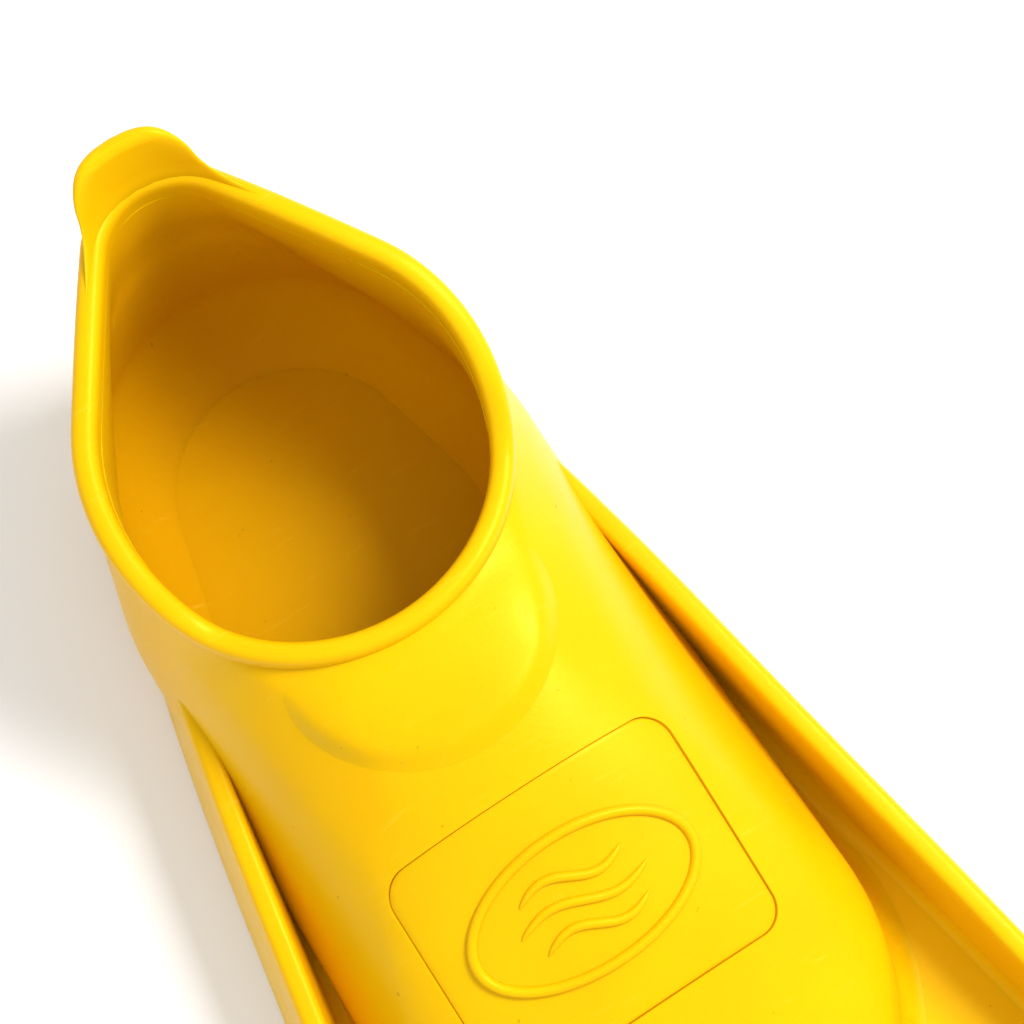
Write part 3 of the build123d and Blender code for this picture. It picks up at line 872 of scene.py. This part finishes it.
def rail_half(name, start, end, side, nodes):
    """Half of a side rail's length; the far half ends in a rounded nose."""
    rings = [rail_section(y) for y in stations(start, end, 3.0)]
    if end == SIDE_END:
        last = rings[-1]
        centre = last[:, 0].mean()
        nose_length, nose_rings = 5.0, 7
        for k in range(1, nose_rings + 1):
            turn = math.radians(90 * k / (nose_rings + 0.3))
            shrink, reach = math.cos(turn), nose_length * math.sin(turn)
            rings.append([(centre + (x - centre) * shrink, y - reach, z * (0.35 + 0.65 * shrink))
                          for x, y, z in last])
    rings = np.array(rings) * (side, 1, 1)
    return dress(loft(name, rings, fin_rubber, 45.0), nodes)


TIP_BAND = 9.0            # length of the thick band along the blade's end


def blade_end(x):
    """Y of the blade's end at half-width x."""
    half = RAIL_EDGE[0][1]
    sag = SIDE_END - TIP_Y
    radius = (half * half + sag * sag) / (2 * sag)
    return TIP_Y + radius - np.sqrt(radius * radius - x * x)


def web_half(name, start, end, nodes):
    """Blade sheet between two cross lines, or to the blade's end. It thins along its length."""
    taper_start, taper_length, taper = 150.0, 300.0, 0.9
    tops, unders = [], []
    across = np.linspace(-1, 1, 61)
    for y in stations(start, end, 4.0):
        edge = float(rail_edge(y - RIM_Y)) + 1.0
        x = across * edge
        ys = np.full_like(x, y)
        if end == SIDE_END:
            share = (y - start) / (end - start)
            ys = start + (blade_end(x) + TIP_BAND / 2 - 0.5 - start) * share
        thin = np.clip((RIM_Y - taper_start - y) / taper_length, 0, 1) * taper
        tops.append(np.stack([x, ys, np.full_like(x, WEB_TOP - thin / 2)], axis=-1))
        unders.append(np.stack([x, ys, np.full_like(x, WEB_Z + thin / 2)], axis=-1))
    rings = np.concatenate([np.array(tops), np.array(unders)[:, ::-1]], axis=1)
    return dress(loft(name, rings, fin_rubber, 40.0), nodes)


RIB_START = box_mm("left_rib_root")[1][1]
RIB_END = box_mm("left_rib_tip")[0][1]
RIB_X = (46.0, 58.0)      # distance from the middle, at the rib's start and end
RIB_HALF = (5.5, 3.5)     # half-width, at the rib's start and end
# Top of the ribs in side view, measured from the opening's front.
rib_top = smooth_curve([(-420.0, 9.0), (-260.0, 11.5), (-180.0, 12.8), (-140.0, 13.2),
                        (-122.0, 12.0)])


def rib_half(name, start, end, side, nodes):
    """Half of a round-backed rib's length on the blade, with a round end and a soft foot."""
    rings = []
    for y in stations(start, end, 2.0):
        share = (RIB_START - y) / (RIB_START - RIB_END)
        x = RIB_X[0] + (RIB_X[1] - RIB_X[0]) * share
        half = RIB_HALF[0] + (RIB_HALF[1] - RIB_HALF[0]) * share
        rise = float(rib_top(y - RIM_Y)) - WEB_TOP
        near = min(RIB_START - y, y - RIB_END)
        end_share = max(0.02, math.sqrt(max(0.0, 1 - max(0.0, 1 - near / half) ** 2)))
        ring = []
        for k in np.linspace(-1, 1, 25):
            soft = max(0.0, 1 - abs(k) ** 2.6) ** 0.75
            foot = 1 + 0.35 * abs(k) ** 6
            ring.append((side * x + k * half * end_share * foot, y,
                         WEB_TOP - 0.25 + (rise * end_share + 0.25) * soft))
        ring.append((side * x + half * end_share * 1.2, y, WEB_TOP - 1.2))
        ring.append((side * x - half * end_share * 1.2, y, WEB_TOP - 1.2))
        rings.append(ring)
    return dress(loft(name, rings, fin_rubber, 50.0), nodes)


def tip_edge():
    """Thick rounded edge across the blade's end."""
    low, high = box_mm("tip_band")
    middle, half_h = (low[2] + high[2]) / 2, (high[2] - low[2]) / 2
    rings = []
    for x in np.linspace(-RAIL_EDGE[0][1] - 3.0, RAIL_EDGE[0][1] + 3.0, 90):
        y = float(blade_end(min(abs(x), RAIL_EDGE[0][1])))
        ring = [(x, y + TIP_BAND / 2 * (1 + squared(math.cos(t), 0.7)),
                 middle + half_h * squared(math.sin(t), 0.7))
                for t in np.radians(np.arange(0, 360, 15))]
        rings.append(ring)
    return dress(loft("blade_tip_edge", rings, fin_rubber, 50.0), ["tip_band"])


RAIL_REAR = RIM_Y + RAIL_EDGE[-1][0]
WEB_REAR = box_mm("blade_web_root")[1][1]
near_half, far_half = [], []
for side, word in ((-1, "left"), (1, "right")):
    near_half.append(rail_half(f"{word}_rail_near", RAIL_REAR, SPLIT_Y, side,
                               [f"{word}_rail_root", f"{word}_rail_mid"]))
    far_half.append(rail_half(f"{word}_rail_far", SPLIT_Y, SIDE_END, side, [f"{word}_rail_tip"]))
    near_half.append(rib_half(f"{word}_rib_near", RIB_START, SPLIT_Y, side,
                              [f"{word}_rib_root", f"{word}_rib_mid"]))
    far_half.append(rib_half(f"{word}_rib_far", SPLIT_Y, RIB_END, side, [f"{word}_rib_tip"]))
near_half.append(web_half("blade_web_near", WEB_REAR, SPLIT_Y, ["blade_web_root", "blade_web_mid"]))
far_half.append(web_half("blade_web_far", SPLIT_Y, SIDE_END, ["blade_web_tip"]))
far_half.append(tip_edge())


def gusset_row(section, grow, z):
    """Half outline of the pocket's section at one height, grown by grow and laid at height z."""
    x, y = pocket_outline(np.array([[section]]), grow)
    return np.stack([x[0], y[0] + RIM_Y, np.full(len(POCKET_STATIONS), z)], axis=-1)


def gusset(side, word):
    """Concave fillet between the pocket's foot and the blade web on one side."""
    radius = 7.0
    rings = []
    for turn in np.radians(np.linspace(0, 90, 9)):
        z = WEB_TOP - 0.1 + radius * (1 - math.sin(turn))
        rings.append(gusset_row(z, radius * (1 - math.cos(turn)), z))
    rings += [gusset_row(WEB_TOP, -1.0, WEB_TOP - 1.5),
              gusset_row(WEB_TOP + radius, -1.0, WEB_TOP + radius)]
    strip = np.array(rings).transpose(1, 0, 2) * (side, 1, 1)
    keep = strip[:, 0, 1] < WEB_REAR + 10
    return dress(loft(f"{word}_fillet", strip[keep], fin_rubber, 50.0), [f"{word}_gusset"])


gussets = [gusset(-1, "left"), gusset(1, "right")]


# ---- bodies ----------------------------------------------------------------------------------
for piece in (pocket, bead, panel, ring, *waves, swell, sole, insole, grip, *gussets):
    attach(piece, "foot")
for piece in near_half:
    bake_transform(piece)
for piece in far_half:
    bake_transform(piece)
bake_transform(tab)


# ---- camera, light and floor -----------------------------------------------------------------
CAMERA_TURN = (27.53, 74.15, -5.61)      # azimuth, elevation and roll in degrees
CAMERA_PLACE = (-34.3, RIM_Y - 124.0, 586.6)
CAMERA_LENS = 82.69


def photo_camera():
    azimuth, elevation, roll = np.radians(CAMERA_TURN)
    forward = Vector((math.sin(azimuth) * math.cos(elevation),
                      math.cos(azimuth) * math.cos(elevation), -math.sin(elevation)))
    right = Vector((math.cos(azimuth), -math.sin(azimuth), 0))
    up = right.cross(forward)
    tilted = right * math.cos(roll) + up * math.sin(roll)
    upward = tilted.cross(forward)
    data = bpy.data.cameras.new("photo_camera")
    data.sensor_width = 36.0
    data.lens = CAMERA_LENS
    camera = bpy.data.objects.new("photo_camera", data)
    turn = Matrix((tilted, upward, -forward)).transposed().to_4x4()
    camera.matrix_world = Matrix.Translation(Vector(CAMERA_PLACE) * MM) @ turn
    bpy.context.scene.collection.objects.link(camera)
    bpy.context.scene.camera = camera


def area_light(name, place, target, size, power):
    """White square light; places and size are in metres."""
    data = bpy.data.lights.new(name, "AREA")
    data.shape = "RECTANGLE"
    data.size = size
    data.size_y = size
    data.energy = power
    light = bpy.data.objects.new(name, data)
    light.location = place
    light.rotation_euler = (Vector(target) - Vector(place)).to_track_quat("-Z", "Y").to_euler()
    bpy.context.scene.collection.objects.link(light)


FLOOR_HALF = 12.0                        # metres from the floor's middle to its edges
FLOOR_DROP = -0.0003                     # just under the sole and rails, in metres


def pale_floor():
    n = Nodes("studio_floor")
    tone = n.ramp(n.noise(3.0, 3.0), (0.3, (0.95, 0.95, 0.95, 1)), (0.7, (0.97, 0.97, 0.97, 1)))
    shader = n.add("ShaderNodeBsdfPrincipled")
    n.link(tone, shader.inputs["Base Color"])
    shader.inputs["Roughness"].default_value = 0.7
    out = n.add("ShaderNodeOutputMaterial")
    n.link(shader.outputs["BSDF"], out.inputs["Surface"])
    mesh = bpy.data.meshes.new("studio_floor")
    mesh.from_pydata([(x * FLOOR_HALF, y * FLOOR_HALF, FLOOR_DROP)
                      for x, y in ((-1, -1), (1, -1), (1, 1), (-1, 1))], [], [(0, 1, 2, 3)])
    mesh.materials.append(n.material)
    floor = bpy.data.objects.new("studio_floor", mesh)
    bpy.context.scene.collection.objects.link(floor)


photo_camera()
pale_floor()
area_light("key", (0.62, 0.04, 0.95), (0.02, 0.12, 0.03), 0.40, 12.6)
area_light("fill", (-0.5, -0.4, 1.2), (0, 0.05, 0), 1.2, 2.2)
world = bpy.data.worlds.new("studio_world")
world.use_nodes = True
background = world.node_tree.nodes["Background"]
background.inputs["Color"].default_value = (1, 1, 1, 1)
background.inputs["Strength"].default_value = 0.72
bpy.context.scene.world = world
bpy.context.scene.view_settings.view_transform = "Standard"
